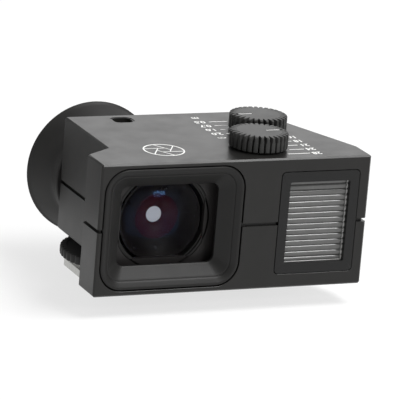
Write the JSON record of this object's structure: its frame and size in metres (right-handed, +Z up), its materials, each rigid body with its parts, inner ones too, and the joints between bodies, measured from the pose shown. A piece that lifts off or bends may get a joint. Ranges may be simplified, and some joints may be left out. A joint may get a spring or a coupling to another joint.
{
  "type": "camera viewfinder",
  "caption": "Accessory-shoe optical viewfinder: black two-shell body with hooded wide lens, ribbed light window, knurled dials, eyecup and clamping shoe foot.",
  "frame": {"origin": "centre of the shoe foot's underside", "axes": "+Z up through the foot, -Y out of the objective towards the scene, +X from the objective towards the illumination window"},
  "size_m": [0.065, 0.0494, 0.0392],
  "materials": {
    "anodised_black": "satin black anodised, fine bead-blasted grain",
    "hood_black": "matt black anodised",
    "bezel_black": "matt black",
    "dial_black": "satin black anodised, cut knurl",
    "eyecup_rubber": "matt moulded rubber",
    "bright_steel": "fine ground",
    "brass": "turned",
    "inner_black": "light-trap matt black",
    "optical_glass": "coated, polished",
    "ribbed_glass": "moulded horizontal ribs",
    "white_plastic": "moulded opal white, also the fill of the engraved scales",
    "silvered_glass": "front silvered",
    "level_glass": "vial with tinted fluid"
  },
  "bodies": {
    "housing": {"upper_housing": "anodised_black", "lower_housing": "anodised_black", "front_hood": "hood_black", "lens_board": "hood_black", "objective_cell": "hood_black", "objective_lens": "optical_glass", "objective_ring": "inner_black", "window_frame": "bezel_black", "window_glass": "ribbed_glass", "diffuser": "white_plastic", "optics_chassis": "inner_black", "beam_splitter": "optical_glass", "splitter_holder": "inner_black", "light_mirror": "silvered_glass", "mirror_holder": "inner_black", "collimator_cell": "inner_black", "collimator_lens": "optical_glass", "eyepiece_tube": "inner_black", "eyepiece_lens": "optical_glass", "eyepiece_ring": "inner_black", "eyecup": "eyecup_rubber", "slot_window": "optical_glass", "level_vial": "level_glass", "level_cradle": "inner_black", "focal_bush": "brass", "distance_bush": "brass", "focal_click_spring": "bright_steel", "distance_click_spring": "bright_steel", "guide_pin_left": "bright_steel", "guide_pin_right": "bright_steel", "foot_plate": "bright_steel", "foot_pillar": "bright_steel", "foot_screw_1": "bright_steel", "foot_screw_2": "bright_steel", "foot_screw_3": "bright_steel", "foot_screw_4": "bright_steel", "housing_screw_1": "bright_steel", "housing_screw_2": "bright_steel", "housing_screw_3": "bright_steel", "housing_screw_4": "bright_steel"},
    "focal_dial": {"focal_dial": "dial_black", "focal_shaft": "bright_steel", "focal_cam": "brass", "focal_clip": "bright_steel"},
    "distance_dial": {"distance_dial": "dial_black", "distance_shaft": "bright_steel", "distance_cam": "brass", "distance_clip": "bright_steel"},
    "mask_carriage": {"parallax_carriage": "inner_black"},
    "blade_left": {"mask_blade_left": "inner_black"},
    "blade_right": {"mask_blade_right": "inner_black"},
    "clamp": {"clamp_washer": "bright_steel"},
    "lock_wheel": {"lock_wheel": "dial_black"}
  },
  "joints": [
    {"name": "focal_turn", "type": "hinge", "parent": "housing", "child": "focal_dial", "pos_m": [0.0233, -0.0208, 0.0352], "axis": [0, 0, 1], "range_deg": [-60, 60]},
    {"name": "distance_turn", "type": "hinge", "parent": "housing", "child": "distance_dial", "pos_m": [0.0294, -0.0069, 0.0352], "axis": [0, 0, 1], "range_deg": [-60, 60]},
    {"name": "carriage_lift", "type": "slide", "parent": "housing", "child": "mask_carriage", "axis": [0, 0, 1], "range_m": [-0.0005, 0.0005]},
    {"name": "blade_left_slide", "type": "slide", "parent": "mask_carriage", "child": "blade_left", "axis": [1, 0, 0], "range_m": [-0.001, 0.001]},
    {"name": "blade_right_slide", "type": "slide", "parent": "mask_carriage", "child": "blade_right", "axis": [1, 0, 0], "range_m": [-0.001, 0.001]},
    {"name": "clamp_lift", "type": "slide", "parent": "housing", "child": "clamp", "axis": [0, 0, 1], "range_m": [0, 0.00025]},
    {"name": "lock_wheel_turn", "type": "hinge", "parent": "clamp", "child": "lock_wheel", "pos_m": [0, 0, 0.0055], "axis": [0, 0, 1], "range_deg": [0, 180]}
  ],
  "couplings": [
    {"joint": "carriage_lift", "follows": "distance_turn", "m_per_rad": -0.00047746},
    {"joint": "blade_left_slide", "follows": "focal_turn", "m_per_rad": -0.00095492},
    {"joint": "blade_right_slide", "follows": "focal_turn", "m_per_rad": 0.00095492},
    {"joint": "clamp_lift", "follows": "lock_wheel_turn", "m_per_rad": 0.000079577}
  ]
}
